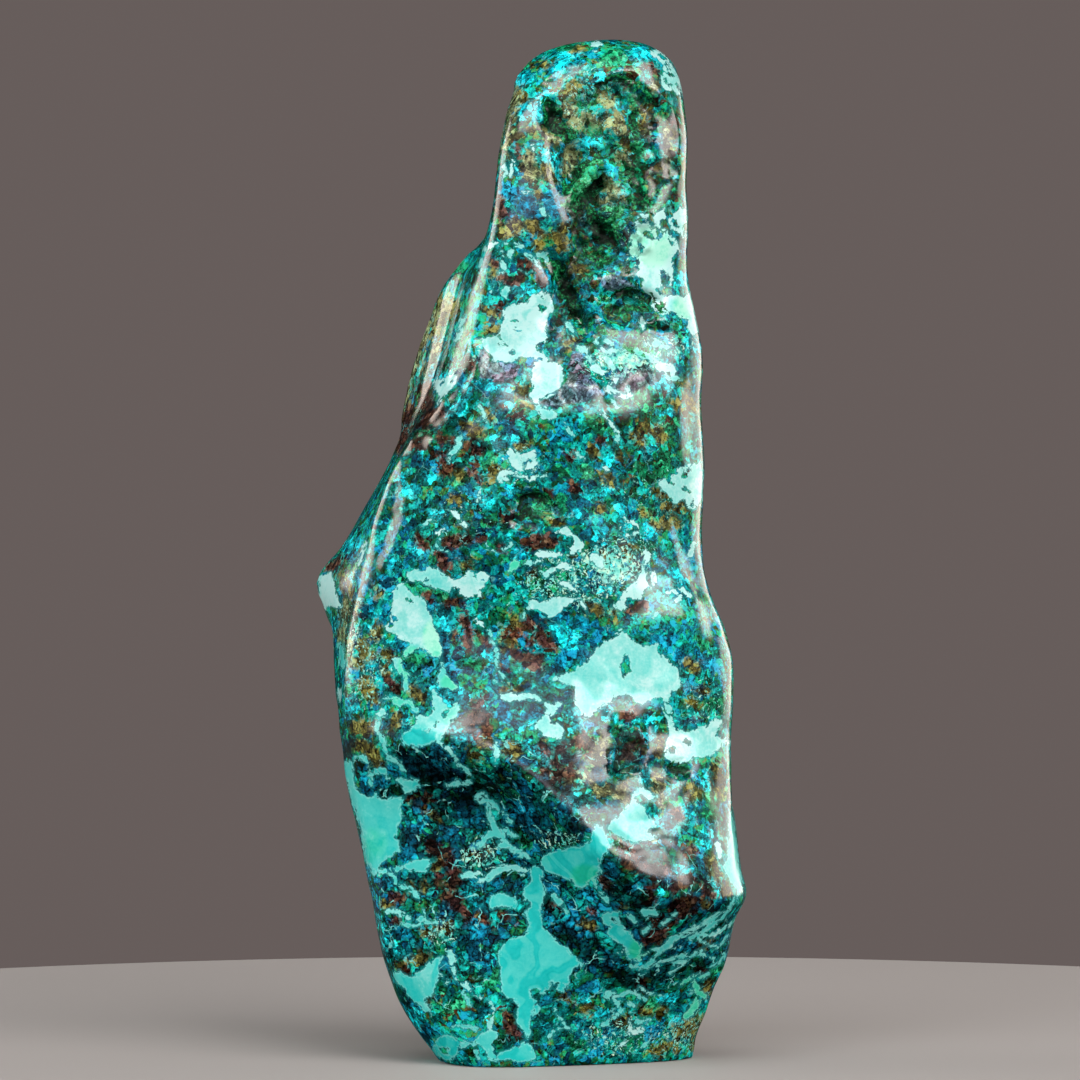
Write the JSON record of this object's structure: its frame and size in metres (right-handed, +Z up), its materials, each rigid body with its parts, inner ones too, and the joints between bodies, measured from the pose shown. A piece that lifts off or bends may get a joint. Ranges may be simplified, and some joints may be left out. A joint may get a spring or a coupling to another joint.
{
  "type": "polished freeform mineral specimen",
  "caption": "Polished free-form chrysocolla and malachite stone, thumb-shaped at the top, standing on a flat cut foot.",
  "frame": {"origin": "on the flat foot's plane, inside its outline, under the middle of the stone's lower body", "axes": "+Z up the stone's height, -Y out of its front, +X to the right seen from the front"},
  "size_m": [0.1052, 0.0782, 0.2495],
  "materials": {
    "polished_chrysocolla": "polished, mottled teal, turquoise and near-white with dark green, ochre and red-brown; rough dark green hollows"
  },
  "bodies": {
    "root": {"chrysocolla_stone": "polished_chrysocolla"}
  },
  "joints": []
}
